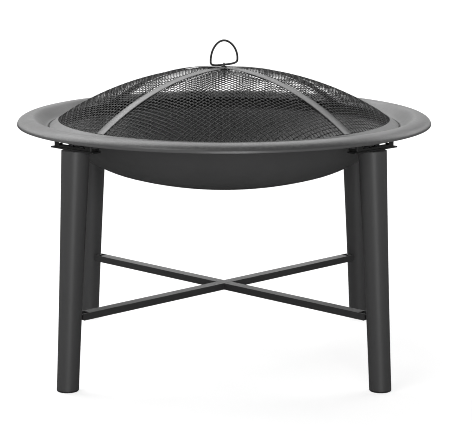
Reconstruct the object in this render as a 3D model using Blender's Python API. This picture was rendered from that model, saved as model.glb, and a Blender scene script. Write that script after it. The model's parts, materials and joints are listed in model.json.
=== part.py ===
"""A round fire pit: a drawn steel bowl on four flared legs, under a lift-off mesh dome.

Metres, +Z up. The origin is on the ground under the bowl's axis. The legs stand at 45 degrees
to X and Y. Each leg's pieces are modelled with the leg on +X, and then turned to their place.
"""
import math

import bmesh
import bpy
from mathutils import Matrix

# Clearances
GAP = 0.0003
HOLE_CLEARANCE = 0.0004

# Facets of round things, and steps along rounded corners
ROUND_SEGMENTS = 64
ROD_SEGMENTS = 12
DISC_SEGMENTS = 16
HEX = 6
CORNER_STEPS = 3
WELD = 1e-6

# Bowl and rim
SHEET = 0.0015
RIM_RADIUS = 0.381
LIP_REACH = 0.026
LIP_DROP = 0.0145
HEM_WIDTH = 0.003
RIM_SLOPE = 0.0315
SEAT_DEPTH = 0.0182
SEAT_WIDTH = 0.008
WALL_BEND = 0.0045
KNUCKLE_REACH = 0.112
KNUCKLE_RADIUS = 0.21
CROWN_RADIUS = 0.695
CROWN_STEPS = 4
KNUCKLE_STEPS = 5
SLOPE_STEPS = 5
LIP_STEPS = 4

# Legs, which lean in towards the top and flare there
LEG_HEIGHT = 0.4235
LEG_INSET = 0.0193
LEG_SPLAY = 0.0258
LEG_FOOT_DIAMETER = 0.039
LEG_TOP_DIAMETER = 0.0495
LEG_FLARE_POWER = 1.6
LEG_WALL = 0.0015
LEG_TOP_SHEET = 0.002
LEG_RINGS = 5
LEG_SEGMENTS = 24
CAP_FLANGE = 0.003
CAP_ROUND = 0.0024
CAP_PLUG = 0.010

# Plate across each leg's top
PLATE_SHEET = 0.0025
PLATE_INSIDE = 0.0097
PLATE_OUTSIDE = 0.0103
PLATE_HALF_LENGTH = 0.0555
PLATE_CORNER = 0.002

# Folded bracket between the plate and the rim
BRACKET_SHEET = 0.0015
BRACKET_HALF_LENGTH = 0.049
BRACKET_CORNER = 0.005
BRACKET_SETBACK = 0.0015
BRACKET_BASE_WIDTH = 0.0205
EAR_HEIGHT = 0.01875
EAR_LENGTH = 0.0145
EAR_CLEARANCE = 0.0006
FLANGE_HEIGHT = 0.0041

# Bolts through bracket and plate, with nuts inside the tube
BOLT_DIAMETER = 0.006
BOLT_HEAD_FLATS = 0.0095
BOLT_HEAD = 0.003
BOLT_INSET = 0.0012
BOLT_SPACING = 0.027
BOLT_TAIL = 0.0015
NUT_FLATS = 0.0095
NUT_HEIGHT = 0.0045

# Cross braces: inverted channels, their ends on the legs
BRACE_TOP = 0.1346
BRACE_WIDTH = 0.020
BRACE_HEIGHT = 0.0124
BRACE_WALL = 0.002
BRACE_NOTCH = 0.017
BRACE_CHAMFER = 0.0022

# Screw through each brace end, into a flanged insert in the leg
SCREW_DIAMETER = 0.005
SCREW_HEAD_DIAMETER = 0.0075
SCREW_HEAD = 0.0025
SCREW_TAIL = 0.002
INSERT_DIAMETER = 0.0075
INSERT_FLANGE_DIAMETER = 0.0095
INSERT_FLANGE = 0.0008
INSERT_LENGTH = 0.010

# Spark screen: ring and straps on one sphere, the net just under it
FRAME_RADIUS = 0.553
FRAME_SHEET = 0.001
RING_WIDTH = 0.016
RING_PLAY = 0.0015
STRAP_WIDTH = 0.0195
STRAP_STEPS = 20
NET_WIRE = 0.0022
NET_OVERLAP = 0.005
NET_DIAMOND_LONG = 0.064
NET_DIAMOND_SHORT = 0.044

# Eye bolt with its washer and nut
EYE_WIRE = 0.0013
EYE_SUNK = 0.00095
EYE_WIRE_SEGMENTS = 8
EYE_HOLE_RADIUS = 0.0024
EYE_TURN = math.radians(25)
COLLAR_DIAMETER = 0.011
COLLAR_EDGE = 0.0007
COLLAR_HEIGHT = 0.0018
COLLAR_TOP_DIAMETER = 0.0055
EYE_SHANK_DIAMETER = 0.004
EYE_SHANK_TAIL = 0.007
WASHER_DIAMETER = 0.015
WASHER_HEIGHT = 0.001
EYE_NUT_FLATS = 0.007
EYE_NUT_HEIGHT = 0.003

# Bail: a wire bent to an arch over a nearly straight foot, which slants in the eye
BAIL_WIRE = 0.0038
BAIL_HALF_WIDTH = 0.0246
BAIL_ARCH_HEIGHT = 0.0349
BAIL_ARCH_POWER = 1.92
BAIL_FOOT_DEPTH = 0.0097
BAIL_FOOT_POWER = 3.8
BAIL_SLANT = 0.11
BAIL_SEAT = 0.00025
BAIL_STEPS = 40
BAIL_WIRE_STEPS = 2

LEGS = {
    "back_right": math.radians(45),
    "back_left": math.radians(135),
    "front_left": math.radians(225),
    "front_right": math.radians(315),
}

for old in list(bpy.data.objects):
    bpy.data.objects.remove(old)


def paint(name, grey, roughness, metallic):
    """A material in one grey."""
    material = bpy.data.materials.new(name)
    material.use_nodes = True
    shader = material.node_tree.nodes["Principled BSDF"]
    shader.inputs["Base Color"].default_value = (grey, grey, grey, 1.0)
    shader.inputs["Roughness"].default_value = roughness
    shader.inputs["Metallic"].default_value = metallic
    material.diffuse_color = (grey, grey, grey, 1.0)
    return material


def finished(bm):
    """Turn a bmesh into a mesh."""
    mesh = bpy.data.meshes.new("shape")
    bm.to_mesh(mesh)
    bm.free()
    return mesh


def show(name, mesh, material, turn=0.0, parent=None, sharp=35):
    """Make the named object, turned about Z and shaded smooth up to the sharp angle in degrees."""
    thing = bpy.data.objects.new(name, mesh)
    bpy.context.scene.collection.objects.link(thing)
    thing.rotation_euler.z = turn
    thing.parent = parent
    if not mesh.materials:
        mesh.materials.append(material)
    mesh.shade_smooth()
    mesh.set_sharp_from_angle(angle=math.radians(sharp))
    return thing


def joined(operation, mesh, *others):
    """Cut the other meshes out of mesh ('DIFFERENCE') or add them to it ('UNION')."""
    base = bpy.data.objects.new("base", mesh)
    bpy.context.scene.collection.objects.link(base)
    tools = []
    for other in others:
        tool = bpy.data.objects.new("tool", other)
        bpy.context.scene.collection.objects.link(tool)
        tools.append(tool)
        boolean = base.modifiers.new("boolean", 'BOOLEAN')
        boolean.operation = operation
        boolean.object = tool
    view = bpy.context.evaluated_depsgraph_get()
    result = bpy.data.meshes.new_from_object(base.evaluated_get(view))
    result.materials.clear()
    for thing in [base, *tools]:
        bpy.data.objects.remove(thing)
    return result


def turned(profile, segments, closed):
    """Spin (radius, height) points about Z. An open profile starts and ends on the axis."""
    bm = bmesh.new()
    verts = [bm.verts.new((radius, 0, height)) for radius, height in profile]
    ends = verts[1:] + verts[:1] if closed else verts[1:]
    edges = [bm.edges.new(pair) for pair in zip(verts, ends)]
    bmesh.ops.spin(
        bm, geom=verts + edges, axis=(0, 0, 1), cent=(0, 0, 0),
        angle=math.tau, steps=segments, use_merge=True,
    )
    bmesh.ops.remove_doubles(bm, verts=bm.verts, dist=WELD)
    bmesh.ops.recalc_face_normals(bm, faces=bm.faces)
    return bm


def block(low, high):
    """A block between two corners."""
    bm = bmesh.new()
    bmesh.ops.create_cube(bm, size=1.0)
    bmesh.ops.scale(bm, vec=[b - a for a, b in zip(low, high)], verts=bm.verts)
    bmesh.ops.translate(bm, vec=[(a + b) / 2 for a, b in zip(low, high)], verts=bm.verts)
    return bm


def soften(bm, edges, radius, steps):
    """Round or chamfer the edges."""
    bmesh.ops.bevel(
        bm, geom=edges, offset=radius, offset_type='OFFSET', segments=steps,
        profile=0.5, affect='EDGES', material=-1,
    )
    return bm


def uprights(bm, x_from):
    """The block's upright edges beyond an x value."""
    return [
        edge for edge in bm.edges
        if abs(edge.verts[0].co.z - edge.verts[1].co.z) > GAP and edge.verts[0].co.x > x_from
    ]


def rod(radius, low, high, segments=ROD_SEGMENTS):
    """A round bar along Z, or with HEX segments a hexagonal one, whose radius is half its flats."""
    bm = bmesh.new()
    corner = radius / math.cos(math.pi / segments) if segments == HEX else radius
    bmesh.ops.create_cone(
        bm, cap_ends=True, segments=segments, radius1=corner, radius2=corner, depth=high - low,
    )
    bmesh.ops.translate(bm, vec=(0, 0, (low + high) / 2), verts=bm.verts)
    return bm


def moved(bm, place):
    """The bmesh, put in its place by a matrix."""
    bm.transform(place)
    return bm


def arc(start, end, steps):
    """Evenly spaced values from start to end, without the first."""
    return [start + (end - start) * step / steps for step in range(1, steps + 1)]


def offset_line(points, distance):
    """The line beside points, on their left, at a mitred distance."""
    normals = []
    for (r0, z0), (r1, z1) in zip(points, points[1:]):
        length = math.hypot(r1 - r0, z1 - z0)
        normals.append((-(z1 - z0) / length, (r1 - r0) / length))
    beside = []
    for index, (r, z) in enumerate(points):
        near = normals[max(index - 1, 0):index + 1]
        nr = sum(normal[0] for normal in near) / len(near)
        nz = sum(normal[1] for normal in near) / len(near)
        scale = distance / (nr * nr + nz * nz)
        beside.append((r + nr * scale, z + nz * scale))
    return beside


def height_at(points, radius):
    """The line's height at a radius, between its points."""
    for (r0, z0), (r1, z1) in zip(points, points[1:]):
        if r0 <= radius <= r1:
            return z0 + (z1 - z0) * (radius - r0) / (r1 - r0)
    return points[-1][1]


# Levels and radii that pieces share, from the ground up and from the rim inwards
plate_low = LEG_HEIGHT + GAP
plate_high = plate_low + PLATE_SHEET
bracket_low = plate_high + GAP
base_high = bracket_low + BRACKET_SHEET
ear_high = bracket_low + EAR_HEIGHT
leg_top_offset = RIM_RADIUS - LEG_INSET
leg_foot_offset = leg_top_offset + LEG_SPLAY
plate_inner = leg_top_offset - PLATE_INSIDE
plate_outer = leg_top_offset + PLATE_OUTSIDE
web_x = plate_outer - BRACKET_SETBACK
crest_radius = RIM_RADIUS - LIP_REACH
seat_outer = crest_radius - RIM_SLOPE
seat_inner = seat_outer - SEAT_WIDTH
ring_outer = seat_outer - RING_PLAY
ring_inner = ring_outer - RING_WIDTH


def rim_underside(lip_z):
    """The rim's lower face as (radius, height) points, from the bowl's wall out to the hem."""
    crest_z = lip_z + LIP_DROP - SHEET
    seat_low = crest_z - SEAT_DEPTH
    points = [(seat_inner, seat_low), (seat_outer, seat_low)]
    for share in arc(0.0, 1.0, SLOPE_STEPS):
        rise = (3 - 2 * share) * share ** 2
        points.append((seat_outer + RIM_SLOPE * share, seat_low + SEAT_DEPTH * rise))
    reach = LIP_REACH - SHEET
    drop = LIP_DROP - 2 * SHEET
    for angle in arc(0.0, math.pi / 2, LIP_STEPS):
        points.append((crest_radius + reach * math.sin(angle), crest_z - drop * (1 - math.cos(angle))))
    points.append((crest_radius + reach - HEM_WIDTH, crest_z - drop))
    return points


# The rim rests on the brackets' ears, and everything in the bowl is placed from there
ear_corner = BRACKET_HALF_LENGTH - BRACKET_CORNER
ear_reach = math.hypot(web_x - BRACKET_CORNER, ear_corner) + BRACKET_CORNER
lip_z = ear_high + EAR_CLEARANCE - height_at(rim_underside(0.0), ear_reach)
rim_line = rim_underside(lip_z)
seat_low = rim_line[0][1]
seat_z = seat_low + SHEET


def bowl_underside():
    """The bowl's lower face: a shallow crown, a tighter knuckle and the wall up to the seat."""
    crown_edge = seat_inner - WALL_BEND - KNUCKLE_REACH
    tilt = math.asin(crown_edge / CROWN_RADIUS)
    knuckle_r = (CROWN_RADIUS - KNUCKLE_RADIUS) * math.sin(tilt)
    knuckle_z = CROWN_RADIUS - (CROWN_RADIUS - KNUCKLE_RADIUS) * math.cos(tilt)
    wall_tilt = math.asin((seat_inner - WALL_BEND - knuckle_r) / KNUCKLE_RADIUS)
    line = [(0.0, 0.0)]
    for angle in arc(0.0, tilt, CROWN_STEPS):
        line.append((CROWN_RADIUS * math.sin(angle), CROWN_RADIUS * (1 - math.cos(angle))))
    for angle in arc(tilt, wall_tilt, KNUCKLE_STEPS):
        line.append((
            knuckle_r + KNUCKLE_RADIUS * math.sin(angle),
            knuckle_z - KNUCKLE_RADIUS * math.cos(angle),
        ))
    wall_high = seat_low - WALL_BEND * math.sin(wall_tilt / 2)
    shift = wall_high - line[-1][1]
    return [(r, z + shift) for r, z in line]


underside = bowl_underside() + rim_line
upper_side = [(min(max(r, 0.0), RIM_RADIUS), z) for r, z in offset_line(underside, SHEET)]
bowl = finished(turned(underside + upper_side[::-1], ROUND_SEGMENTS, closed=False))
show("fire_bowl", bowl, paint("bowl_enamel", 0.10, 0.45, 0.3))


def leg_offset(z):
    """How far a leg's centre line is from the bowl's axis at a height."""
    return leg_foot_offset - LEG_SPLAY * z / LEG_HEIGHT


def leg_radius(z):
    """The tube's outer radius at a height."""
    flare = (z / LEG_HEIGHT) ** LEG_FLARE_POWER
    return (LEG_FOOT_DIAMETER + (LEG_TOP_DIAMETER - LEG_FOOT_DIAMETER) * flare) / 2


def lean(bm):
    """Shift each height's ring to the leg's centre line."""
    for vert in bm.verts:
        vert.co.x += leg_offset(vert.co.z)
    return bm


def along_x(x, z):
    """The place of a rod that starts at this x and height and lies along +X."""
    return Matrix.Translation((x, 0, z)) @ Matrix.Rotation(math.pi / 2, 4, 'Y')


# Brace ends stop at the insert's flange, which lies on the leg where it is nearest
brace_low = BRACE_TOP - BRACE_HEIGHT
web_low = BRACE_TOP - BRACE_WALL
screw_z = (brace_low + BRACE_CHAMFER + web_low) / 2
leg_face = leg_offset(BRACE_TOP) - leg_radius(BRACE_TOP)
insert_face = leg_face - GAP - INSERT_FLANGE
brace_end = insert_face - GAP

# Leg tube, flared by its rings and closed at its top, with a hole for the brace's insert
foot = CAP_FLANGE + GAP
top_low = LEG_HEIGHT - LEG_TOP_SHEET
outside = [(leg_radius(z), z) for z in [foot] + arc(foot, LEG_HEIGHT, LEG_RINGS - 1)]
inside = [(leg_radius(z) - LEG_WALL, z) for z in [foot] + arc(foot, top_low, LEG_RINGS - 1)]
tube_line = [(0, LEG_HEIGHT), *outside[::-1], *inside, (0, top_low)]
tube = finished(lean(turned(tube_line, LEG_SEGMENTS, closed=False)))
insert_hole = rod(INSERT_DIAMETER / 2 + HOLE_CLEARANCE, -INSERT_LENGTH, INSERT_LENGTH)
insert_hole = finished(moved(insert_hole, along_x(leg_face, screw_z)))

# Foot cap, a plug with a rounded foot under the tube
foot_radius = leg_radius(0)
plug_radius = leg_radius(CAP_FLANGE) - LEG_WALL - HOLE_CLEARANCE
cap_line = [(0, 0), (foot_radius - CAP_ROUND, 0)]
for angle in arc(0.0, math.pi / 2, CORNER_STEPS):
    cap_line.append((foot_radius - CAP_ROUND * (1 - math.sin(angle)), CAP_ROUND * (1 - math.cos(angle))))
cap_line += [(foot_radius, CAP_FLANGE), (plug_radius, CAP_FLANGE)]
cap_line += [(plug_radius, CAP_FLANGE + CAP_PLUG), (0, CAP_FLANGE + CAP_PLUG)]
cap = finished(lean(turned(cap_line, LEG_SEGMENTS, closed=False)))

# Two bolt spots at each leg, within the tube
bolt_x = leg_top_offset - BOLT_INSET
bolt_spots = {
    "a": Matrix.Translation((bolt_x, -BOLT_SPACING / 2, 0)),
    "b": Matrix.Translation((bolt_x, BOLT_SPACING / 2, 0)),
}


def bolt_holes():
    """Cutters for the bolts through bracket, plate and tube top."""
    radius = BOLT_DIAMETER / 2 + HOLE_CLEARANCE
    cutters = [rod(radius, top_low - GAP, base_high + GAP) for _ in bolt_spots]
    return [finished(moved(cutter, spot)) for cutter, spot in zip(cutters, bolt_spots.values())]


tube = joined('DIFFERENCE', tube, insert_hole, *bolt_holes())
plate = block((plate_inner, -PLATE_HALF_LENGTH, plate_low), (plate_outer, PLATE_HALF_LENGTH, plate_high))
plate = finished(soften(plate, uprights(plate, 0), PLATE_CORNER, CORNER_STEPS))
plate = joined('DIFFERENCE', plate, *bolt_holes())


def bracket_shape():
    """A folded bracket: base on the plate, upright web with two ears, and a flange at each end."""
    flange_inside = BRACKET_HALF_LENGTH - BRACKET_SHEET
    flange_high = bracket_low + FLANGE_HEIGHT
    base_end = web_x - BRACKET_BASE_WIDTH
    ear_inside = BRACKET_HALF_LENGTH - EAR_LENGTH
    clear = ear_high + GAP
    body = block((base_end, -BRACKET_HALF_LENGTH, bracket_low), (web_x, BRACKET_HALF_LENGTH, ear_high))
    body = soften(body, uprights(body, bolt_x), BRACKET_CORNER, CORNER_STEPS)
    hollow = block((0, -flange_inside, base_high), (web_x - BRACKET_SHEET, flange_inside, clear))
    hollow = soften(hollow, uprights(hollow, bolt_x), BRACKET_CORNER - BRACKET_SHEET, CORNER_STEPS)
    above = block((0, -RIM_RADIUS, flange_high), (web_x - BRACKET_CORNER, RIM_RADIUS, clear))
    window = block((0, -ear_inside, flange_high), (RIM_RADIUS, ear_inside, clear))
    cutters = [finished(cutter) for cutter in (hollow, above, window)]
    return joined('DIFFERENCE', finished(body), *cutters, *bolt_holes())


bracket = bracket_shape()
nut_high = top_low - GAP
nut_low = nut_high - NUT_HEIGHT
head_low = base_high + GAP
bolt = joined(
    'UNION',
    finished(rod(BOLT_HEAD_FLATS / 2, head_low, head_low + BOLT_HEAD, HEX)),
    finished(rod(BOLT_DIAMETER / 2, nut_low - BOLT_TAIL, head_low + BOLT_HEAD / 2)),
)
nut = joined(
    'DIFFERENCE',
    finished(rod(NUT_FLATS / 2, nut_low, nut_high, HEX)),
    finished(rod(BOLT_DIAMETER / 2 + HOLE_CLEARANCE, nut_low - GAP, nut_high + GAP)),
)

# Screw through the brace's end plate, and the flanged insert that takes it in the leg
screw_start = brace_end - BRACE_WALL - GAP
screw_reach = insert_face + INSERT_FLANGE + INSERT_LENGTH + SCREW_TAIL - screw_start
screw = joined(
    'UNION',
    finished(rod(SCREW_HEAD_DIAMETER / 2, -SCREW_HEAD, 0)),
    finished(rod(SCREW_DIAMETER / 2, -SCREW_HEAD / 2, screw_reach)),
)
screw.transform(along_x(screw_start, screw_z))
insert_reach = INSERT_FLANGE + INSERT_LENGTH
insert = joined(
    'UNION',
    finished(rod(INSERT_FLANGE_DIAMETER / 2, 0, INSERT_FLANGE)),
    finished(rod(INSERT_DIAMETER / 2, INSERT_FLANGE / 2, insert_reach)),
)
insert = joined(
    'DIFFERENCE', insert, finished(rod(SCREW_DIAMETER / 2 + HOLE_CLEARANCE, -GAP, insert_reach + GAP)),
)
insert.transform(along_x(insert_face, screw_z))

leg_steel = paint("leg_steel", 0.09, 0.45, 0.3)
cap_plastic = paint("cap_plastic", 0.03, 0.6, 0.0)
plate_steel = paint("plate_steel", 0.05, 0.5, 0.3)
bracket_steel = paint("bracket_steel", 0.04, 0.5, 0.3)
screw_steel = paint("screw_steel", 0.08, 0.4, 0.8)
zinc = paint("zinc", 0.3, 0.4, 0.8)
for leg, turn in LEGS.items():
    show("leg_tube_" + leg, tube, leg_steel, turn)
    show("foot_cap_" + leg, cap, cap_plastic, turn)
    show("leg_top_plate_" + leg, plate, plate_steel, turn)
    show("rim_bracket_" + leg, bracket, bracket_steel, turn)
    show("brace_screw_" + leg, screw, screw_steel, turn)
    show("leg_insert_" + leg, insert, zinc, turn)
    for letter, spot in bolt_spots.items():
        place = Matrix.Rotation(turn, 4, 'Z') @ spot
        show("bracket_bolt_" + leg + "_" + letter, bolt, screw_steel).matrix_world = place
        show("bracket_nut_" + leg + "_" + letter, nut, zinc).matrix_world = place


def brace_shape(crossing):
    """An inverted channel along X between two legs, notched at its ends and halved in the middle."""
    side = BRACE_WIDTH / 2
    bar = block((-brace_end, -side, brace_low), (brace_end, side, BRACE_TOP))
    lower_ends = [
        edge for edge in bar.edges
        if all(vert.co.z < screw_z for vert in edge.verts)
        and abs(edge.verts[0].co.x - edge.verts[1].co.x) < GAP
    ]
    bar = finished(soften(bar, lower_ends, BRACE_CHAMFER, 1))
    trough_end = brace_end - BRACE_WALL
    trough_side = side - BRACE_WALL
    cutters = [crossing, block((-trough_end, -trough_side, 0), (trough_end, trough_side, web_low))]
    for end in (0, math.pi):
        half_turn = Matrix.Rotation(end, 4, 'Z')
        notch = block(
            (brace_end - BRACE_NOTCH, -trough_side, web_low - GAP),
            (brace_end + GAP, trough_side, BRACE_TOP + GAP),
        )
        hole = rod(SCREW_DIAMETER / 2 + HOLE_CLEARANCE, -BRACE_WALL - GAP, GAP)
        cutters += [moved(notch, half_turn), moved(hole, half_turn @ along_x(brace_end, screw_z))]
    return joined('DIFFERENCE', bar, *[finished(cutter) for cutter in cutters])


# The braces are halved where they cross: one keeps its web, and the other its sides
cross = BRACE_WIDTH / 2 + GAP
side_cut = block((-cross, -cross, 0), (cross, cross, web_low))
web_cut = block((-cross, -cross, web_low - GAP), (cross, cross, BRACE_TOP + GAP))
show("cross_brace_over", brace_shape(side_cut), leg_steel, LEGS["back_right"])
show("cross_brace_under", brace_shape(web_cut), leg_steel, LEGS["back_left"])

# The spark screen's ring stands with its lower edge on the bowl's seat
frame_inside = FRAME_RADIUS - FRAME_SHEET
ring_foot = ring_outer * frame_inside / FRAME_RADIUS
dome_centre = seat_z + GAP - math.sqrt(frame_inside ** 2 - ring_foot ** 2)
screen = bpy.data.objects.new("spark_screen", None)
bpy.context.scene.collection.objects.link(screen)
screen.location = (0, 0, dome_centre)


def ring_point(radius, share):
    """A point of the ring's section, on a sphere about the screen's empty."""
    inner = math.asin(ring_inner / FRAME_RADIUS)
    outer = math.asin(ring_outer / FRAME_RADIUS)
    angle = inner + (outer - inner) * share
    return radius * math.sin(angle), radius * math.cos(angle)


ring_shares = (0.0, 0.5, 1.0)
ring_line = [ring_point(frame_inside, share) for share in ring_shares]
ring_line += [ring_point(FRAME_RADIUS, share) for share in reversed(ring_shares)]
ring = finished(turned(ring_line, ROUND_SEGMENTS, closed=True))
screen_steel = paint("screen_steel", 0.13, 0.45, 0.3)
show("screen_ring", ring, screen_steel, parent=screen)


def strap_shape(lift):
    """A strap along X that butts on the ring at both ends and is lifted at the top."""
    end_r = ring_inner - STRAP_WIDTH / 2 * math.tan(math.pi / ROUND_SEGMENTS) - GAP
    rise = FRAME_RADIUS + lift - math.sqrt(FRAME_RADIUS ** 2 - end_r ** 2)
    radius = (end_r ** 2 + rise ** 2) / (2 * rise)
    reach = math.asin(end_r / radius)
    section = block((0, -STRAP_WIDTH / 2, radius - FRAME_SHEET), (GAP, STRAP_WIDTH / 2, radius))
    end_face = [face for face in section.faces if face.calc_center_median().x < GAP / 4]
    others = [face for face in section.faces if face not in end_face]
    bmesh.ops.delete(section, geom=others, context='FACES')
    bmesh.ops.rotate(
        section, cent=(0, 0, 0), matrix=Matrix.Rotation(-reach, 3, 'Y'), verts=section.verts,
    )
    bmesh.ops.spin(
        section, geom=section.faces[:], axis=(0, 1, 0), cent=(0, 0, 0),
        angle=2 * reach, steps=STRAP_STEPS,
    )
    bmesh.ops.translate(section, vec=(0, 0, FRAME_RADIUS + lift - radius), verts=section.verts)
    bmesh.ops.recalc_face_normals(section, faces=section.faces)
    return finished(section)


def shank_hole(low, high):
    """A cutter for the eye bolt's shank."""
    return finished(rod(EYE_SHANK_DIAMETER / 2 + HOLE_CLEARANCE, low, high))


strap_lift = FRAME_SHEET + GAP
for name, turn, lift in (
    ("screen_strap_lower", LEGS["back_right"], 0.0),
    ("screen_strap_upper", LEGS["back_left"], strap_lift),
):
    strap = joined('DIFFERENCE', strap_shape(lift), shank_hole(frame_inside / 2, FRAME_RADIUS * 2))
    show(name, strap, screen_steel, turn, screen)

# The mesh, as a net of large diamonds: laid flat, cut round, put on its sphere and given wires
net_middle = frame_inside - GAP - NET_WIRE / 2
net_edge = ring_inner + NET_OVERLAP
cells = 2 * math.ceil(net_edge * math.sqrt(2) / min(NET_DIAMOND_LONG, NET_DIAMOND_SHORT)) + 1
net = bmesh.new()
bmesh.ops.create_grid(net, x_segments=cells, y_segments=cells, size=cells / 2)
bmesh.ops.rotate(net, cent=(0, 0, 0), matrix=Matrix.Rotation(math.pi / 4, 3, 'Z'), verts=net.verts)
diamond = (NET_DIAMOND_LONG / math.sqrt(2), NET_DIAMOND_SHORT / math.sqrt(2), 1.0)
bmesh.ops.scale(net, vec=diamond, verts=net.verts)
outer_faces = [face for face in net.faces if face.calc_center_median().length > net_edge]
bmesh.ops.delete(net, geom=outer_faces, context='FACES')
for vert in net.verts:
    if vert.is_boundary:
        vert.co *= net_edge / vert.co.length
for vert in net.verts:
    vert.co.z = math.sqrt(net_middle ** 2 - vert.co.x ** 2 - vert.co.y ** 2)
mesh_dome = show("screen_mesh", finished(net), paint("mesh_steel", 0.05, 0.5, 0.3), parent=screen)
wires = mesh_dome.modifiers.new("wires", 'WIREFRAME')
wires.thickness = NET_WIRE
wires.use_boundary = True
wires.use_replace = True

# Eye bolt: its collar stands on the upper strap and its nut draws the washer up from below
collar_low = FRAME_RADIUS + strap_lift + GAP
collar_high = collar_low + COLLAR_HEIGHT
eye_centre = collar_high + EYE_HOLE_RADIUS + EYE_WIRE - EYE_SUNK
washer_high = net_middle - NET_WIRE / 2 - GAP
washer_low = washer_high - WASHER_HEIGHT
eye_nut_high = washer_low - GAP
eye_nut_low = eye_nut_high - EYE_NUT_HEIGHT
eye = bmesh.new()
bmesh.ops.create_circle(eye, segments=EYE_WIRE_SEGMENTS, radius=EYE_WIRE / 2)
bmesh.ops.translate(eye, vec=(EYE_HOLE_RADIUS + EYE_WIRE / 2, 0, 0), verts=eye.verts)
bmesh.ops.spin(
    eye, geom=eye.verts[:] + eye.edges[:], axis=(0, 1, 0), cent=(0, 0, 0),
    angle=math.tau, steps=DISC_SEGMENTS, use_merge=True,
)
bmesh.ops.recalc_face_normals(eye, faces=eye.faces)
eye_place = Matrix.Translation((0, 0, eye_centre)) @ Matrix.Rotation(math.pi / 2 + EYE_TURN, 4, 'Z')
collar_line = [
    (0, collar_low), (COLLAR_DIAMETER / 2, collar_low), (COLLAR_DIAMETER / 2, collar_low + COLLAR_EDGE),
    (COLLAR_TOP_DIAMETER / 2, collar_high), (0, collar_high),
]
eye_bolt = joined(
    'UNION',
    finished(moved(eye, eye_place)),
    finished(turned(collar_line, DISC_SEGMENTS, closed=False)),
    finished(rod(EYE_SHANK_DIAMETER / 2, eye_nut_low - EYE_SHANK_TAIL, (collar_low + collar_high) / 2)),
)
bolt_steel = paint("bolt_steel", 0.06, 0.4, 0.6)
show("eye_bolt", eye_bolt, bolt_steel, parent=screen)

washer = joined(
    'DIFFERENCE',
    finished(rod(WASHER_DIAMETER / 2, washer_low, washer_high, DISC_SEGMENTS)),
    shank_hole(washer_low - GAP, washer_high + GAP),
)
show("eye_bolt_washer", washer, bolt_steel, parent=screen)
eye_nut = joined(
    'DIFFERENCE',
    finished(rod(EYE_NUT_FLATS / 2, eye_nut_low, eye_nut_high, HEX)),
    shank_hole(eye_nut_low - GAP, eye_nut_high + GAP),
)
show("eye_bolt_nut", eye_nut, bolt_steel, parent=screen)


def bail_point(angle):
    """A point of the bail's centre line from the middle of its foot: arch first, then foot."""
    arching = angle < math.pi
    power = BAIL_ARCH_POWER if arching else BAIL_FOOT_POWER
    height = BAIL_ARCH_HEIGHT if arching else BAIL_FOOT_DEPTH
    across = math.copysign(abs(math.cos(angle)) ** (2 / power), math.cos(angle)) * BAIL_HALF_WIDTH
    share = math.copysign(abs(math.sin(angle)) ** (2 / power), math.sin(angle))
    slant = BAIL_SLANT * across * (1 - max(share, 0.0))
    return across, 0.0, BAIL_FOOT_DEPTH + share * height + slant


# The bail's origin is on its axis, where its foot lies in the eye
bail_wire = bpy.data.curves.new("bail_wire", 'CURVE')
bail_wire.dimensions = '3D'
bail_wire.bevel_depth = BAIL_WIRE / 2
bail_wire.bevel_resolution = BAIL_WIRE_STEPS
spline = bail_wire.splines.new('POLY')
spline.points.add(BAIL_STEPS - 1)
for point, angle in zip(spline.points, arc(0, math.tau, BAIL_STEPS)):
    point.co = (*bail_point(angle), 1.0)
spline.use_cyclic_u = True
bail_wire.materials.append(bolt_steel)
bail = bpy.data.objects.new("bail", bail_wire)
bpy.context.scene.collection.objects.link(bail)
bail.parent = screen
bail.location.z = eye_centre - EYE_HOLE_RADIUS + BAIL_WIRE / 2 + BAIL_SEAT
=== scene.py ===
"""A round fire pit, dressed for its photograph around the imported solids.

Metres, +Z up. The origin is on the ground under the bowl's axis, and the legs stand at 45 degrees
to X and Y. The file follows the object as it is put together, from the bowl to the handle.
"""
import json
import math

import bmesh
import bpy
from mathutils import Matrix, Vector


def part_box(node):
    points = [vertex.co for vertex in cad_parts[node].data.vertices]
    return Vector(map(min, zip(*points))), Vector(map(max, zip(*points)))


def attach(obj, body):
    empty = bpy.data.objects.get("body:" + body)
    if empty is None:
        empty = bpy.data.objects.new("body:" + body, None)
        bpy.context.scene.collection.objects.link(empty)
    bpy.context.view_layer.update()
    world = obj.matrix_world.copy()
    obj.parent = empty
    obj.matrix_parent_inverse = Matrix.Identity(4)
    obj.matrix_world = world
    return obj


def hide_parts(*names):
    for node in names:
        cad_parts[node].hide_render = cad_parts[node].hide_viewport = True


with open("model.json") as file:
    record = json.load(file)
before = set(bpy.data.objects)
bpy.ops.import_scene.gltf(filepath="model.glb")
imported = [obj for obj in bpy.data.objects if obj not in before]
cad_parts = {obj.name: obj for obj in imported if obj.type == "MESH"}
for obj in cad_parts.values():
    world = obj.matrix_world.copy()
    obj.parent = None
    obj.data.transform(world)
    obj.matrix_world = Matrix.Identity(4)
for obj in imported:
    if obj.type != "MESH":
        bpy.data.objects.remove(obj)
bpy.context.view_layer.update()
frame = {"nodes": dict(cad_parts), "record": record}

# Fire bowl
# Deep-drawn steel sheet with a wide flared rim, a seat for the screen and a small hem under the
# lip. It is coated with black heat-resistant enamel, which shines grey where it faces the sky; part
# of that grey is painted sheen, given as light dust specks on what faces up. Painted shade blackens
# the seat and the strip of inner wall under the screen's ring.
BOWL_SHEET = 0.0015
RIM_RADIUS = 0.381
CREST_RADIUS = 0.355
CREST_HEIGHT = 0.4515
LIP_DROP = 0.0145
HEM_WIDTH = 0.003
SEAT_OUTER = 0.3235
SEAT_INNER = 0.3155
SEAT_DEPTH = 0.0182
WALL_BEND = 0.0045
KNUCKLE_REACH = 0.112
KNUCKLE_RADIUS = 0.21
CROWN_RADIUS = 0.695
BOWL_FACETS = 192
CURVE_STEPS = 14
BEND_STEPS = 5
LIP_STEPS = 16
WELD = 1e-6

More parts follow.
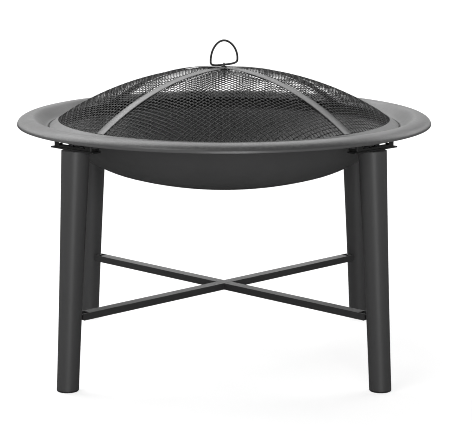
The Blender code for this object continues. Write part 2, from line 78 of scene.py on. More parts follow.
# How the enamel and all the other sprayed coats look: noise scales in waves per metre, and the
# ranges in which a noise, or the way that the surface faces, turns into a mask
CLOUD_SCALE = 9.0
CLOUD_DETAIL = 6.0
CLOUD_RANGE = (0.3, 0.7)
CLOUD_TONE = (0.45, 0.45, 0.45, 1.0)
CLOUD_DULLING = 0.08
SPECK_SCALE = 160.0
SPECK_DETAIL = 4.0
SPECK_RANGE = (0.35, 0.75)
# Dust and painted sheen: the slope over which light specks settle on what faces up, their colour and
# how much they dull the shine
DUST_AND_SHEEN_SLOPE = (0.35, 0.95)
DUST_AND_SHEEN_COLOUR = (0.3, 0.3, 0.29, 1.0)
DUST_AND_SHEEN_DULLING = 0.5
# Painted shade: the near-black mixed in where a mask says shade falls, and how much it dulls the
# shine
PAINTED_SHADE_COLOUR = (0.002, 0.002, 0.002, 1.0)
PAINTED_SHADE_DULLING = 0.5
# Painted shade on the bowl: where it starts on the inner wall under the screen's ring, and how far it
# fades past the seat
PAINTED_SHADE_START = 0.302
PAINTED_SHADE_FADE = 0.003
INSIDE_SLOPE = (0.2, 0.4)
PEEL_SCALE = 700.0
PEEL_DETAIL = 2.0
PEEL_DEPTH = 0.00006
COOL_CAST = 1.01


def sweep(start, end, steps):
    """Evenly spaced values from start to end, without the first."""
    return [start + (end - start) * step / steps for step in range(1, steps + 1)]


def turned(profile, facets, closed=True):
    """Spin (radius, height) points about Z. An open profile starts and ends on the axis."""
    bm = bmesh.new()
    verts = [bm.verts.new((radius, 0, height)) for radius, height in profile]
    ends = verts[1:] + verts[:1] if closed else verts[1:]
    edges = [bm.edges.new(pair) for pair in zip(verts, ends)]
    bmesh.ops.spin(
        bm, geom=verts + edges, axis=(0, 0, 1), cent=(0, 0, 0),
        angle=math.tau, steps=facets, use_merge=True,
    )
    bmesh.ops.remove_doubles(bm, verts=bm.verts, dist=WELD)
    bmesh.ops.recalc_face_normals(bm, faces=bm.faces)
    return bm


def offset_line(points, distance):
    """The line beside points, on their left, at a mitred distance."""
    normals = []
    for (r0, z0), (r1, z1) in zip(points, points[1:]):
        length = math.hypot(r1 - r0, z1 - z0)
        normals.append((-(z1 - z0) / length, (r1 - r0) / length))
    beside = []
    for index, (r, z) in enumerate(points):
        near = normals[max(index - 1, 0):index + 1]
        nr = sum(normal[0] for normal in near) / len(near)
        nz = sum(normal[1] for normal in near) / len(near)
        scale = distance / (nr * nr + nz * nz)
        beside.append((r + nr * scale, z + nz * scale))
    return beside


def fitted(name, bm, material, body, node, sharp=32):
    """Make the piece, smooth up to the sharp angle, on its body and in place of its CAD node."""
    mesh = bpy.data.meshes.new(name)
    bm.to_mesh(mesh)
    bm.free()
    piece = bpy.data.objects.new(name, mesh)
    bpy.context.scene.collection.objects.link(piece)
    mesh.materials.append(material)
    mesh.shade_smooth()
    mesh.set_sharp_from_angle(angle=math.radians(sharp))
    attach(piece, body)
    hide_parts(node)
    return piece


def feed(tree, value, node, name):
    """Give a node's input a value: another node's output, or a plain number or colour."""
    if isinstance(value, bpy.types.NodeSocket):
        tree.links.new(value, node.inputs[name])
    else:
        node.inputs[name].default_value = value


def maths(tree, operation, *values, clamp=False):
    """A math node on its values. Returns its output."""
    node = tree.nodes.new('ShaderNodeMath')
    node.operation = operation
    node.use_clamp = clamp
    for number, value in enumerate(values):
        feed(tree, value, node, number)
    return node.outputs["Value"]


def ramp(tree, value, low, high):
    """A mask that rises from 0 to 1 while the value goes from low to high."""
    node = tree.nodes.new('ShaderNodeMapRange')
    feed(tree, value, node, "Value")
    feed(tree, low, node, "From Min")
    feed(tree, high, node, "From Max")
    return node.outputs["Result"]


def noise(tree, place, scale, detail):
    """Noise at a place, from 0 to 1."""
    node = tree.nodes.new('ShaderNodeTexNoise')
    feed(tree, place, node, "Vector")
    feed(tree, scale, node, "Scale")
    feed(tree, detail, node, "Detail")
    return node.outputs["Fac"]


def mixed(tree, factor, first, second, blend='MIX'):
    """The first colour, mixed with the second by a factor."""
    node = tree.nodes.new('ShaderNodeMix')
    node.data_type = 'RGBA'
    node.blend_type = blend
    feed(tree, factor, node, "Factor")
    feed(tree, first, node, "A")
    feed(tree, second, node, "B")
    return node.outputs["Result"]


def bumped(tree, height, depth):
    """A normal that stands out by a depth where the height is 1."""
    node = tree.nodes.new('ShaderNodeBump')
    feed(tree, height, node, "Height")
    feed(tree, depth, node, "Distance")
    return node.outputs["Normal"]


def object_place(tree):
    """Where a point lies on its piece, in metres."""
    return tree.nodes.new('ShaderNodeTexCoord').outputs["Object"]


def facing_z(tree):
    """How far the surface faces up, from -1 to 1."""
    facing = tree.nodes.new('ShaderNodeNewGeometry')
    split = tree.nodes.new('ShaderNodeSeparateXYZ')
    feed(tree, facing.outputs["Normal"], split, "Vector")
    return split.outputs["Z"]


def coat_group():
    """Baked coating with mottled colour, painted shade, dust with painted sheen on what faces up, and
    orange peel.
    """
    tree = bpy.data.node_groups.new("sprayed coat", 'ShaderNodeTree')
    tree.interface.new_socket(name="Coat", in_out='INPUT', socket_type='NodeSocketColor')
    for name in ("Dust And Sheen Amount", "Roughness", "Mottle", "Painted Shade"):
        tree.interface.new_socket(name=name, in_out='INPUT', socket_type='NodeSocketFloat')
    tree.interface.new_socket(name="Color", in_out='OUTPUT', socket_type='NodeSocketColor')
    for name in ("Roughness", "Height"):
        tree.interface.new_socket(name=name, in_out='OUTPUT', socket_type='NodeSocketFloat')
    given = tree.nodes.new('NodeGroupInput').outputs
    place = object_place(tree)

    # Large soft clouds change the tone a little, and painted shade blackens what its mask covers
    clouds = ramp(tree, noise(tree, place, CLOUD_SCALE, CLOUD_DETAIL), *CLOUD_RANGE)
    depth = maths(tree, 'MULTIPLY', clouds, given["Mottle"])
    toned = mixed(tree, depth, given["Coat"], CLOUD_TONE, blend='MULTIPLY')
    with_painted_shade = mixed(tree, given["Painted Shade"], toned, PAINTED_SHADE_COLOUR)

    # Dust settles in specks where the surface faces up; the light specks also stand in for painted
    # sheen on what faces the sky
    level = ramp(tree, facing_z(tree), *DUST_AND_SHEEN_SLOPE)
    specks = ramp(tree, noise(tree, place, SPECK_SCALE, SPECK_DETAIL), *SPECK_RANGE)
    dust_and_sheen = maths(tree, 'MULTIPLY', maths(tree, 'MULTIPLY', level, specks), given["Dust And Sheen Amount"])

    # Clouds, the dust and painted sheen, and the painted shade dull the shine
    dull = given["Roughness"]
    causes = ((clouds, CLOUD_DULLING), (dust_and_sheen, DUST_AND_SHEEN_DULLING), (given["Painted Shade"], PAINTED_SHADE_DULLING))
    for cause, amount in causes:
        dull = maths(tree, 'MULTIPLY_ADD', cause, amount, dull, clamp=True)

    result = tree.nodes.new('NodeGroupOutput')
    feed(tree, mixed(tree, dust_and_sheen, with_painted_shade, DUST_AND_SHEEN_COLOUR), result, "Color")
    feed(tree, dull, result, "Roughness")
    feed(tree, noise(tree, place, PEEL_SCALE, PEEL_DETAIL), result, "Height")
    return tree


sprayed_coat = coat_group()


def coated(name, grey, roughness, dust_and_sheen_amount, mottle=0.2, peel=PEEL_DEPTH, painted_shade=None):
    """A sprayed and baked finish in one grey. A function for painted shade makes the mask where shade
    is painted on.
    """
    material = bpy.data.materials.new(name)
    material.use_nodes = True
    tree = material.node_tree
    coat = tree.nodes.new('ShaderNodeGroup')
    coat.node_tree = sprayed_coat
    feed(tree, (grey, grey, grey * COOL_CAST, 1.0), coat, "Coat")
    feed(tree, dust_and_sheen_amount, coat, "Dust And Sheen Amount")
    feed(tree, roughness, coat, "Roughness")
    feed(tree, mottle, coat, "Mottle")
    # A mask of painted shade, if given, blackens the coat there
    if painted_shade:
        feed(tree, painted_shade(tree), coat, "Painted Shade")
    shader = tree.nodes["Principled BSDF"]
    feed(tree, coat.outputs["Color"], shader, "Base Color")
    feed(tree, coat.outputs["Roughness"], shader, "Roughness")
    feed(tree, bumped(tree, coat.outputs["Height"], peel), shader, "Normal")
    return material


def under_ring(tree):
    """The mask of painted shade: the strip of inner wall in the screen ring's shadow, the seat and
    the groove round the ring.
    """
    flat = tree.nodes.new('ShaderNodeVectorMath')
    flat.operation = 'MULTIPLY'
    feed(tree, object_place(tree), flat, 0)
    feed(tree, (1.0, 1.0, 0.0), flat, 1)
    length = tree.nodes.new('ShaderNodeVectorMath')
    length.operation = 'LENGTH'
    feed(tree, flat.outputs["Vector"], length, 0)
    radius = length.outputs["Value"]
    wall = ramp(tree, radius, PAINTED_SHADE_START, SEAT_INNER - 2 * WALL_BEND)
    groove = ramp(tree, radius, SEAT_OUTER + PAINTED_SHADE_FADE, SEAT_OUTER)
    inside = ramp(tree, facing_z(tree), *INSIDE_SLOPE)
    return maths(tree, 'MULTIPLY', maths(tree, 'MULTIPLY', wall, groove), inside)


def bowl_line():
    """The bowl's lower face as (radius, height) points, from the middle out to the hem."""
    crest = CREST_HEIGHT - BOWL_SHEET
    seat = crest - SEAT_DEPTH
    crown_edge = SEAT_INNER - WALL_BEND - KNUCKLE_REACH
    tilt = math.asin(crown_edge / CROWN_RADIUS)
    knuckle_r = (CROWN_RADIUS - KNUCKLE_RADIUS) * math.sin(tilt)
    knuckle_z = CROWN_RADIUS - (CROWN_RADIUS - KNUCKLE_RADIUS) * math.cos(tilt)
    wall_tilt = math.asin((SEAT_INNER - WALL_BEND - knuckle_r) / KNUCKLE_RADIUS)
    line = [(0.0, 0.0)]
    for angle in sweep(0.0, tilt, CURVE_STEPS):
        line.append((CROWN_RADIUS * math.sin(angle), CROWN_RADIUS * (1 - math.cos(angle))))
    for angle in sweep(tilt, wall_tilt, CURVE_STEPS):
        line.append((
            knuckle_r + KNUCKLE_RADIUS * math.sin(angle),
            knuckle_z - KNUCKLE_RADIUS * math.cos(angle),
        ))
    wall_high = seat - WALL_BEND * math.sin(wall_tilt / 2)
    shift = wall_high - line[-1][1]
    line = [(r, z + shift) for r, z in line]

    # The wall bends over into the seat, which rises in an ogee to the crest and rolls down the lip
    corner_r, corner_z = line[-1]
    for share in sweep(0.0, 1.0, BEND_STEPS):
        line.append((
            corner_r + (SEAT_INNER - corner_r) * (2 * share - share * share),
            corner_z + (seat - corner_z) * (1 - (1 - share) ** 2),
        ))
    line.append((SEAT_OUTER, seat))
    slope = CREST_RADIUS - SEAT_OUTER
    for share in sweep(0.0, 1.0, LIP_STEPS):
        rise = (3 - 2 * share) * share ** 2
        line.append((SEAT_OUTER + slope * share, seat + SEAT_DEPTH * rise))
    reach = RIM_RADIUS - CREST_RADIUS - BOWL_SHEET
    drop = LIP_DROP - 2 * BOWL_SHEET
    for angle in sweep(0.0, math.pi / 2, LIP_STEPS):
        line.append((CREST_RADIUS + reach * math.sin(angle), crest - drop * (1 - math.cos(angle))))
    line.append((CREST_RADIUS + reach - HEM_WIDTH, crest - drop))
    return line


# The enamel has painted shade under the screen's ring, and dust with painted sheen where it faces up
bowl_enamel = coated("bowl enamel", grey=0.10, roughness=0.32, dust_and_sheen_amount=0.25, painted_shade=under_ring)
below = bowl_line()
above = [(min(max(r, 0.0), RIM_RADIUS), z) for r, z in offset_line(below, BOWL_SHEET)]
bowl = turned(below + above[::-1], BOWL_FACETS, closed=False)
fitted("bowl", bowl, bowl_enamel, "stand", "fire_bowl")

# Legs
# Four steel tubes, 39 mm at the foot and flared towards the top, which lean in under the rim. They
# are powder-coated black, closed at the top by a disc welded in flush, and stand on pressed-in caps
# of black plastic.
LEG_HEIGHT = 0.4235
LEG_TOP_OFFSET = 0.3617
LEG_SPLAY = 0.0258
FOOT_DIAMETER = 0.039
LEG_TOP_DIAMETER = 0.0495
FLARE_POWER = 1.6
TUBE_WALL = 0.0015
TUBE_TOP = 0.002
TUBE_FACETS = 72
TUBE_STEPS = 28
CAP_FLANGE = 0.003
CAP_ROUND = 0.0024
CAP_ROUND_STEPS = 8
CAP_PLUG = 0.010
CAP_SEAM = 0.0003
CAP_GRAIN = 0.0001
LEGS = {"back_right": 45, "back_left": 135, "front_left": 225, "front_right": 315}


def leg_radius(z):
    """The tube's outer radius at a height."""
    flare = (z / LEG_HEIGHT) ** FLARE_POWER
    return (FOOT_DIAMETER + (LEG_TOP_DIAMETER - FOOT_DIAMETER) * flare) / 2


def tube_side(top, wall):
    """(radius, height) points up a side of the tube, this far inside its outer face."""
    low = CAP_FLANGE + CAP_SEAM
    return [(leg_radius(z) - wall, z) for z in [low] + sweep(low, top, TUBE_STEPS)]


def stood(bm, turn):
    """Lean a piece made on Z to its leg's line, and turn it to its corner in degrees."""
    lean = Matrix.Identity(4)
    lean[0][2] = -LEG_SPLAY / LEG_HEIGHT
    lean[0][3] = LEG_TOP_OFFSET + LEG_SPLAY
    bm.transform(Matrix.Rotation(math.radians(turn), 4, 'Z') @ lean)
    return bm


leg_coat = coated("leg powder coat", grey=0.08, roughness=0.34, dust_and_sheen_amount=0.05)
cap_plastic = coated(
    "foot cap plastic", grey=0.03, roughness=0.5, dust_and_sheen_amount=0.05, mottle=0.15, peel=CAP_GRAIN,
)
tube_line = [(0, LEG_HEIGHT), *tube_side(LEG_HEIGHT, 0.0)[::-1]]
tube_line += [*tube_side(LEG_HEIGHT - TUBE_TOP, TUBE_WALL), (0, LEG_HEIGHT - TUBE_TOP)]
foot = FOOT_DIAMETER / 2
plug = foot - TUBE_WALL - CAP_SEAM
cap_line = [(0, 0), (foot - CAP_ROUND, 0)]
for angle in sweep(0.0, math.pi / 2, CAP_ROUND_STEPS):
    cap_line.append((foot - CAP_ROUND * (1 - math.sin(angle)), CAP_ROUND * (1 - math.cos(angle))))
cap_line += [(foot, CAP_FLANGE), (plug, CAP_FLANGE)]
cap_line += [(plug, CAP_FLANGE + CAP_PLUG), (0, CAP_FLANGE + CAP_PLUG)]
for corner, turn in LEGS.items():
    tube = stood(turned(tube_line, TUBE_FACETS, closed=False), turn)
    fitted("tube_" + corner, tube, leg_coat, "stand", "leg_tube_" + corner)
    cap = stood(turned(cap_line, TUBE_FACETS, closed=False), turn)
    fitted("cap_" + corner, cap, cap_plastic, "stand", "foot_cap_" + corner)

# Plates, brackets and braces
# Folded and punched steel: a plate across each leg's top, a bracket on it that carries the rim, and
# two channels that cross between the legs. Their cut edges are a little rounded by the coating.
COAT_ROUNDING = 0.0004
ROUNDING_STEPS = 2
FLAT_ANGLE = 1
EDGE_ANGLE = 30
stand_nodes = frame["record"]["behaviour"]["bodies"]["stand"]


def eased(name, node, material, rounding=COAT_ROUNDING):
    """A copy of a folded or turned solid whose edges are rounded, in place of the solid."""
    bm = bmesh.new()
    bm.from_mesh(frame["nodes"][node].data)
    bmesh.ops.remove_doubles(bm, verts=bm.verts, dist=WELD)
    bmesh.ops.dissolve_limit(bm, angle_limit=math.radians(FLAT_ANGLE), verts=bm.verts, edges=bm.edges)
    body = "stand" if node in stand_nodes else "spark_screen"
    edges = fitted(name, bm, material, body, node).modifiers.new("rounded edges", 'BEVEL')
    edges.width = rounding
    edges.segments = ROUNDING_STEPS
    edges.limit_method = 'ANGLE'
    edges.angle_limit = math.radians(EDGE_ANGLE)
    edges.harden_normals = True


bracket_coat = coated("bracket powder coat", grey=0.012, roughness=0.45, dust_and_sheen_amount=0.03)
brace_coat = coated("brace powder coat", grey=0.045, roughness=0.4, dust_and_sheen_amount=0.08)
for corner in LEGS:
    eased("plate_" + corner, "leg_top_plate_" + corner, bracket_coat)
    eased("bracket_" + corner, "rim_bracket_" + corner, bracket_coat)
eased("brace_over", "cross_brace_over", brace_coat)
eased("brace_under", "cross_brace_under", brace_coat)

# Bolts, screws, nuts and inserts
# Black-oxide bolts hold the brackets and black screws the braces. Their zinc-plated nuts and
# threaded inserts sit inside the tubes.
HEAD_ROUNDING = 0.0002
INSERT_ROUNDING = 0.0001
PLATING_METAL = 0.9
PLATING_SCALE = 260.0
PLATING_DETAIL = 5.0
PLATING_TONES = (0.7, 1.2)
PLATING_WEAR = 0.1
MARK_STRETCH = (120.0, 120.0, 3000.0)
MARK_DETAIL = 2.0
MARK_DEPTH = 0.0001


def bare_steel(name, colour, roughness):
    """Bare or plated steel with fine turning marks and cloudy plating."""
    material = bpy.data.materials.new(name)
    material.use_nodes = True
    tree = material.node_tree
    shader = tree.nodes["Principled BSDF"]
    feed(tree, PLATING_METAL, shader, "Metallic")
    place = object_place(tree)
    clouds = noise(tree, place, PLATING_SCALE, PLATING_DETAIL)
    dark, light = [(*[value * tone for value in colour], 1.0) for tone in PLATING_TONES]
    feed(tree, mixed(tree, clouds, dark, light), shader, "Base Color")
    worn = tree.nodes.new('ShaderNodeMapRange')
    feed(tree, clouds, worn, "Value")
    feed(tree, roughness - PLATING_WEAR, worn, "To Min")
    feed(tree, roughness + PLATING_WEAR, worn, "To Max")
    feed(tree, worn.outputs["Result"], shader, "Roughness")
    stretch = tree.nodes.new('ShaderNodeMapping')
    feed(tree, place, stretch, "Vector")
    feed(tree, MARK_STRETCH, stretch, "Scale")
    marks = noise(tree, stretch.outputs["Vector"], 1.0, MARK_DETAIL)
    feed(tree, bumped(tree, marks, MARK_DEPTH), shader, "Normal")
    return material


black_steel = bare_steel("black steel", colour=(0.06, 0.06, 0.065), roughness=0.4)
zinc_plate = bare_steel("zinc plate", colour=(0.45, 0.45, 0.44), roughness=0.35)
for corner in LEGS:
    eased("brace_screw_head_" + corner, "brace_screw_" + corner, black_steel, HEAD_ROUNDING)
    eased("insert_" + corner, "leg_insert_" + corner, zinc_plate, INSERT_ROUNDING)
    for hole in (corner + "_a", corner + "_b"):
        eased("bolt_" + hole, "bracket_bolt_" + hole, black_steel, HEAD_ROUNDING)
        eased("nut_" + hole, "bracket_nut_" + hole, zinc_plate, HEAD_ROUNDING)

# Screen frame
# One pressed sheet-steel ring with two straps welded across it, on one sphere, so that ring and
# straps lie flush. Bead lines run along both edges of each strap.
SCREEN_RADIUS = 0.553
SCREEN_CENTRE = -0.015276
FRAME_SHEET = 0.001
RING_OUTER = 0.322
RING_INNER = 0.306
RING_FACETS = 192
RING_STEPS = 4
STRAP_WIDTH = 0.0195
STRAP_BEAD = 0.0004
STRAP_BEAD_WIDTH = 0.0022
BEAD_PEAK = 0.4
STRAP_LIFT = 0.0013
STRAP_SEAM = 0.0008
STRAP_TURN = 45
STRAP_STEPS = 72
UNDERSIDE_SLOPE = (0.1, -0.2)


def spun(bm, degrees):
    """Turn a piece about the pit's axis."""
    turn = Matrix.Rotation(math.radians(degrees), 3, 'Z')
    bmesh.ops.rotate(bm, cent=(0, 0, 0), matrix=turn, verts=bm.verts)
    return bm


def sphere_point(radius, r_at_top):
    """A point at this radius of the screen's sphere, below the point r_at_top of its outer face."""
    angle = math.asin(r_at_top / SCREEN_RADIUS)
    return radius * math.sin(angle), SCREEN_CENTRE + radius * math.cos(angle)


def strap(lift):
    """A strap along X, bent on the sphere and lifted at the middle, with a bead along each edge."""
    end = RING_INNER - STRAP_SEAM
    rise = SCREEN_RADIUS + lift - math.sqrt(SCREEN_RADIUS ** 2 - end ** 2)
    radius = (end ** 2 + rise ** 2) / (2 * rise)
    reach = math.asin(end / radius)
    half = STRAP_WIDTH / 2
    peak = half - STRAP_BEAD_WIDTH * BEAD_PEAK
    foot = half - STRAP_BEAD_WIDTH
    across = [
        (-half, 0.0), (-peak, STRAP_BEAD), (-foot, 0.0), (foot, 0.0), (peak, STRAP_BEAD), (half, 0.0),
        (half, -FRAME_SHEET), (-half, -FRAME_SHEET),
    ]
    bm = bmesh.new()
    face = bm.faces.new([bm.verts.new((0, y, radius + z)) for y, z in across])
    tip = Matrix.Rotation(-reach, 3, 'Y')
    bmesh.ops.rotate(bm, cent=(0, 0, 0), matrix=tip, verts=bm.verts)
    bmesh.ops.spin(
        bm, geom=[face], axis=(0, 1, 0), cent=(0, 0, 0),
        angle=2 * reach, steps=STRAP_STEPS,
    )
    top = SCREEN_CENTRE + SCREEN_RADIUS + lift
    bmesh.ops.translate(bm, vec=(0, 0, top - radius), verts=bm.verts)
    bmesh.ops.recalc_face_normals(bm, faces=bm.faces)
    return bm


def underside(tree):
    """What faces down, towards the fire: the mask of painted shade on the frame's undersides."""
    return ramp(tree, facing_z(tree), *UNDERSIDE_SLOPE)


# Painted shade blackens the frame's undersides; dust with painted sheen lightens what faces up
screen_coat = coated(
    "screen frame paint", grey=0.13, roughness=0.32, dust_and_sheen_amount=0.2, mottle=0.15, painted_shade=underside,
)
ring_radii = [RING_INNER] + sweep(RING_INNER, RING_OUTER, RING_STEPS)
ring_line = [sphere_point(SCREEN_RADIUS - FRAME_SHEET, r) for r in ring_radii]
ring_line += [sphere_point(SCREEN_RADIUS, r) for r in reversed(ring_radii)]
border = turned(ring_line, RING_FACETS)
fitted("border_ring", border, screen_coat, "spark_screen", "screen_ring")
for name, turn, lift, node in (
    ("lower_strap", STRAP_TURN, 0.0, "screen_strap_lower"),
    ("upper_strap", STRAP_TURN + 90, STRAP_LIFT, "screen_strap_upper"),
):
    fitted(name, spun(strap(lift), turn), screen_coat, "spark_screen", node)

# Screen mesh
# Steel mesh of flat strands woven over and under, pressed to a dome and spot-welded under the ring
# and straps. The strands run nearly side by side with the straps, so the holes stand on their
# corners when seen from the front. Between the straps the mesh swells up level with them.
MESH_PITCH = 0.00792
MESH_STRAND = 0.0018
MESH_GAUGE = 0.0004
MESH_EDGE = 0.3105
MESH_WEAVE = 0.00022
MESH_GAP = 0.0004
MESH_SWELL = 0.014
MESH_TWIST = 1.5
FINE_PEEL = 0.00003
mesh_coat = coated("mesh paint", grey=0.015, roughness=0.6, dust_and_sheen_amount=0.02, peel=FINE_PEEL)


def on_dome(x, y, over):
    """A place on the mesh, given along and across the straps. Over is 1 or -1 at a crossing."""
    level = SCREEN_RADIUS - MESH_WEAVE - MESH_GAUGE / 2
    from_strap = min(abs(x), abs(y)) - STRAP_WIDTH / 2
    from_ring = RING_INNER - math.hypot(x, y)
    share = min(max(min(from_strap, from_ring) / MESH_SWELL, 0.0), 1.0)
    sunk = (FRAME_SHEET + MESH_GAP) * (1 - (3 - 2 * share) * share ** 2)
    shell = level - sunk + over * MESH_WEAVE
    return Vector((x, y, math.sqrt(shell ** 2 - x * x - y * y) + SCREEN_CENTRE))


def woven(name, across):
    """All the strands that run one way, each a flat strip laid on the dome."""
    twist = Matrix.Rotation(math.radians(MESH_TWIST), 3, 'Z')
    count = int(MESH_EDGE / MESH_PITCH)
    bm = bmesh.new()
    for row in range(-count, count + 1):
        half = math.sqrt(MESH_EDGE ** 2 - (row * MESH_PITCH) ** 2)
        last = int(half / MESH_PITCH)
        stops = [-half] + [step * MESH_PITCH for step in range(-last, last + 1)] + [half]
        steps = len(stops) - 1
        strip = bmesh.ops.create_grid(bm, x_segments=steps, y_segments=1, size=1.0)["verts"]
        for vert in strip:
            along = stops[round((vert.co.x + 1) / 2 * steps)]
            aside = row * MESH_PITCH + vert.co.y * MESH_STRAND / 2
            over = 1 if (round(along / MESH_PITCH) + row) % 2 == across else -1
            spot = twist @ Vector((along, aside, 0) if across else (aside, along, 0))
            vert.co = on_dome(spot.x, spot.y, over)
    spun(bm, STRAP_TURN)
    piece = fitted(name, bm, mesh_coat, "spark_screen", "screen_mesh")
    gauge = piece.modifiers.new("gauge", 'SOLIDIFY')
    gauge.thickness = MESH_GAUGE
    gauge.offset = 0.0


woven("mesh_warp", 0)
woven("mesh_weft", 1)

# Eye bolt, washer and nut
# A turned eye on a collar stands on the crossed straps, and its shank is drawn up against the
# mesh by a nut and a washer.
EYE_WIRE = 0.0013
EYE_HOLE = 0.0024
EYE_TURN = 25
EYE_SUNK = 0.00095
EYE_SEAM = 0.0003
EYE_FACETS = 20
EYE_STEPS = 48
COLLAR_RADIUS = 0.0055
COLLAR_TOP_RADIUS = 0.00275
COLLAR_EDGE = 0.0007
COLLAR_HEIGHT = 0.0018
COLLAR_POWER = 1.4
COLLAR_STEPS = 8
SHANK_RADIUS = 0.002
SHANK_LENGTH = 0.0185
SHANK_PLAIN = 0.004
SHANK_FACETS = 32
THREAD_PITCH = 0.0007
THREAD_DEPTH = 0.0002
THREAD_SHARP = 50

bolt_black = coated("eye bolt coating", grey=0.015, roughness=0.42, dust_and_sheen_amount=0.05, peel=FINE_PEEL)
collar_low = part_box("screen_strap_upper")[1].z + EYE_SEAM
collar_high = collar_low + COLLAR_HEIGHT
eye_centre = collar_high + EYE_HOLE + EYE_WIRE - EYE_SUNK
eye = bmesh.new()
bmesh.ops.create_circle(eye, segments=EYE_FACETS, radius=EYE_WIRE / 2)
bmesh.ops.translate(eye, vec=(EYE_HOLE + EYE_WIRE / 2, 0, 0), verts=eye.verts)
bmesh.ops.spin(
    eye, geom=eye.verts[:] + eye.edges[:], axis=(0, 1, 0), cent=(0, 0, 0),
    angle=math.tau, steps=EYE_STEPS, use_merge=True,
)
bmesh.ops.recalc_face_normals(eye, faces=eye.faces)
spun(eye, 90 + EYE_TURN)
bmesh.ops.translate(eye, vec=(0, 0, eye_centre), verts=eye.verts)
fitted("eye", eye, bolt_black, "spark_screen", "eye_bolt")

# The collar is domed under the eye, and the shank below it is threaded
dome_rise = COLLAR_HEIGHT - COLLAR_EDGE
shank_end = collar_low - SHANK_LENGTH
thread_top = collar_low - SHANK_PLAIN
core = SHANK_RADIUS - THREAD_DEPTH
shank_line = [(0, collar_high)]
for share in sweep(0.0, 1.0, COLLAR_STEPS):
    out = COLLAR_TOP_RADIUS + (COLLAR_RADIUS - COLLAR_TOP_RADIUS) * share
    shank_line.append((out, collar_high - dome_rise * share ** COLLAR_POWER))
shank_line += [(COLLAR_RADIUS, collar_low), (SHANK_RADIUS, collar_low)]
for step in range(int((SHANK_LENGTH - SHANK_PLAIN) / THREAD_PITCH)):
    shank_line.append((SHANK_RADIUS, thread_top - step * THREAD_PITCH))
    shank_line.append((core, thread_top - (step + 0.5) * THREAD_PITCH))
shank_line += [(core, shank_end), (0, shank_end)]
shank = turned(shank_line, SHANK_FACETS, closed=False)
fitted("eye_shank", shank, bolt_black, "spark_screen", "eye_bolt", THREAD_SHARP)
eased("washer", "eye_bolt_washer", bolt_black, HEAD_ROUNDING)
eased("eye_nut", "eye_bolt_nut", bolt_black, HEAD_ROUNDING)

# Bail
# A 3.8 mm steel wire bent to an arch over a nearly straight foot, which hangs slanted in the eye.
# Its ends meet in a butt weld that is ground flush in the foot. It is coated black.
BAIL_WIRE = 0.0038
BAIL_HALF_WIDTH = 0.0246
BAIL_ARCH = 0.0349
BAIL_ARCH_POWER = 1.92
BAIL_FOOT = 0.0097
BAIL_FOOT_POWER = 3.8
BAIL_SLANT = 0.11
BAIL_HINGE = 0.54362
BAIL_ROUNDNESS = 6
BAIL_POINTS = 120


def rounded(value, power):
    """A sine or cosine that squares the bail's outline off more, the higher the power."""
    return math.copysign(abs(value) ** (2 / power), value)


bail_coat = coated("bail coating", grey=0.005, roughness=0.42, dust_and_sheen_amount=0.05, peel=FINE_PEEL)
bend = bpy.data.curves.new("handle", 'CURVE')
bend.dimensions = '3D'
bend.bevel_depth = BAIL_WIRE / 2
bend.bevel_resolution = BAIL_ROUNDNESS
loop = bend.splines.new('POLY')
angles = sweep(0.0, math.tau, BAIL_POINTS)
loop.points.add(len(angles) - 1)
for point, angle in zip(loop.points, angles):
    arching = angle < math.pi
    power = BAIL_ARCH_POWER if arching else BAIL_FOOT_POWER
    across = rounded(math.cos(angle), power) * BAIL_HALF_WIDTH
    share = rounded(math.sin(angle), power)
    height = share * (BAIL_ARCH if arching else BAIL_FOOT)
    slant = BAIL_SLANT * across * (1 - max(share, 0.0))
    point.co = (across, 0.0, BAIL_HINGE + BAIL_FOOT + height + slant, 1.0)
loop.use_cyclic_u = True
handle = bpy.data.objects.new("handle", bend)
bpy.context.scene.collection.objects.link(handle)
bend.materials.append(bail_coat)
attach(handle, "bail")
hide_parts("bail")

# Studio
# A plain pale floor under a white sky. The camera sees both as white, as in a cut-out product
# photograph, but for the pit's faint shadow. Soft suns light the pit from behind on both sides and
# weakly from the front. Each is given by azimuth from the back, elevation, spread and strength.
WHITE = (1.0, 1.0, 1.0, 1.0)
FLOOR_SIZE = 60.0
FLOOR_PAINT = (0.55, 0.55, 0.55, 1.0)
FLOOR_WHITE = 0.72
FLOOR_SHEEN = 0.03
HORIZON_GLOW = 0.85
GLOW_FADE = (0.25, 0.45)
SUNS = {
    "back left": (312, 38, 50, 0.60),
    "front left": (225, 52, 30, 0.23),
    "back right": (48, 30, 40, 0.30),
    "back": (0, 40, 40, 0.25),
    "front": (175, 10, 25, 0.32),
}


def seen_directly(tree):
    """1 for the camera's rays, also through glass, and the light path's outputs."""
    ray = tree.nodes.new('ShaderNodeLightPath').outputs
    return maths(tree, 'MAXIMUM', ray["Is Camera Ray"], ray["Is Transmission Ray"]), ray


def floor_paint():
    """Pale paint that glows for the camera up to white, and hardly shows in the steel."""
    material = bpy.data.materials.new("studio floor")
    material.use_nodes = True
    tree = material.node_tree
    tree.nodes.clear()
    seen, ray = seen_directly(tree)
    paint = tree.nodes.new('ShaderNodeBsdfDiffuse')
    feed(tree, FLOOR_PAINT, paint, "Color")
    glow = tree.nodes.new('ShaderNodeEmission')
    feed(tree, maths(tree, 'MULTIPLY', seen, FLOOR_WHITE), glow, "Strength")
    lit = tree.nodes.new('ShaderNodeAddShader')
    feed(tree, paint.outputs["BSDF"], lit, 0)
    feed(tree, glow.outputs["Emission"], lit, 1)
    mirrored = tree.nodes.new('ShaderNodeEmission')
    feed(tree, FLOOR_SHEEN, mirrored, "Strength")
    mix = tree.nodes.new('ShaderNodeMixShader')
    feed(tree, ray["Is Glossy Ray"], mix, "Fac")
    feed(tree, lit.outputs["Shader"], mix, 1)
    feed(tree, mirrored.outputs["Emission"], mix, 2)
    feed(tree, mix.outputs["Shader"], tree.nodes.new('ShaderNodeOutputMaterial'), "Surface")
    return material


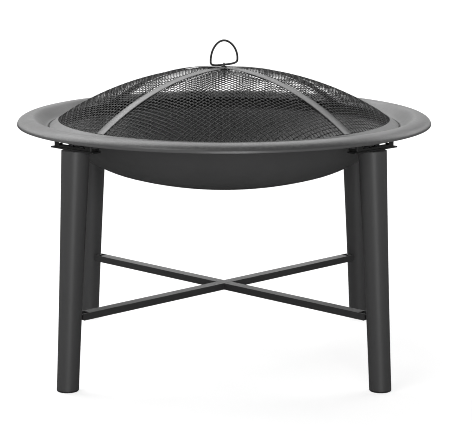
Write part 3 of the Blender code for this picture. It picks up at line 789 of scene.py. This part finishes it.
ground = bmesh.new()
bmesh.ops.create_grid(ground, x_segments=1, y_segments=1, size=FLOOR_SIZE / 2)
floor_mesh = bpy.data.meshes.new("floor")
ground.to_mesh(floor_mesh)
ground.free()
floor_mesh.materials.append(floor_paint())
floor = bpy.data.objects.new("floor", floor_mesh)
bpy.context.scene.collection.objects.link(floor)

# The sky glows along the horizon where the steel reflects it, and is dark there higher up
world = bpy.data.worlds.new("studio")
bpy.context.scene.world = world
world.use_nodes = True
sky = world.node_tree
sky.nodes.clear()
split = sky.nodes.new('ShaderNodeSeparateXYZ')
feed(sky, sky.nodes.new('ShaderNodeTexCoord').outputs["Generated"], split, "Vector")
fade = sky.nodes.new('ShaderNodeMapRange')
fade.interpolation_type = 'SMOOTHSTEP'
feed(sky, split.outputs["Z"], fade, "Value")
feed(sky, GLOW_FADE[0], fade, "From Min")
feed(sky, GLOW_FADE[1], fade, "From Max")
feed(sky, HORIZON_GLOW, fade, "To Min")
feed(sky, 0.0, fade, "To Max")
sky_seen, sky_ray = seen_directly(sky)
sky_shine = maths(sky, 'MULTIPLY', sky_ray["Is Glossy Ray"], fade.outputs["Result"])
backdrop = sky.nodes.new('ShaderNodeBackground')
feed(sky, WHITE, backdrop, "Color")
feed(sky, maths(sky, 'ADD', sky_seen, sky_shine), backdrop, "Strength")
feed(sky, backdrop.outputs["Background"], sky.nodes.new('ShaderNodeOutputWorld'), "Surface")

for name, (azimuth, elevation, spread, strength) in SUNS.items():
    light = bpy.data.lights.new(name, 'SUN')
    light.angle = math.radians(spread)
    light.energy = strength * math.pi
    lamp = bpy.data.objects.new(name, light)
    bpy.context.scene.collection.objects.link(lamp)
    heading = math.radians(azimuth)
    lift = math.radians(elevation)
    level = math.cos(lift)
    towards = Vector((math.sin(heading) * level, math.cos(heading) * level, math.sin(lift)))
    lamp.rotation_euler = towards.to_track_quat('Z', 'Y').to_euler()

# Camera
# Where the photograph was taken from: in front, 3.6 m away and 11 degrees above level.
CAMERA_PLACE = (0.0, -3.5859, 0.93678)
CAMERA_PITCH = 10.688
CAMERA_LENS = 149.05
CAMERA_SENSOR = 36.0
CAMERA_SHIFT = 0.0253
CAMERA_REACH = 100.0
PIXEL_FILTER = 1.0

view = bpy.data.cameras.new("camera")
view.sensor_width = CAMERA_SENSOR
view.lens = CAMERA_LENS
view.shift_x = CAMERA_SHIFT
view.clip_end = CAMERA_REACH
camera = bpy.data.objects.new("camera", view)
bpy.context.scene.collection.objects.link(camera)
camera.location = CAMERA_PLACE
camera.rotation_euler = (math.radians(90 - CAMERA_PITCH), 0.0, 0.0)
bpy.context.scene.camera = camera
bpy.context.scene.view_settings.view_transform = 'Standard'
bpy.context.scene.cycles.filter_width = PIXEL_FILTER
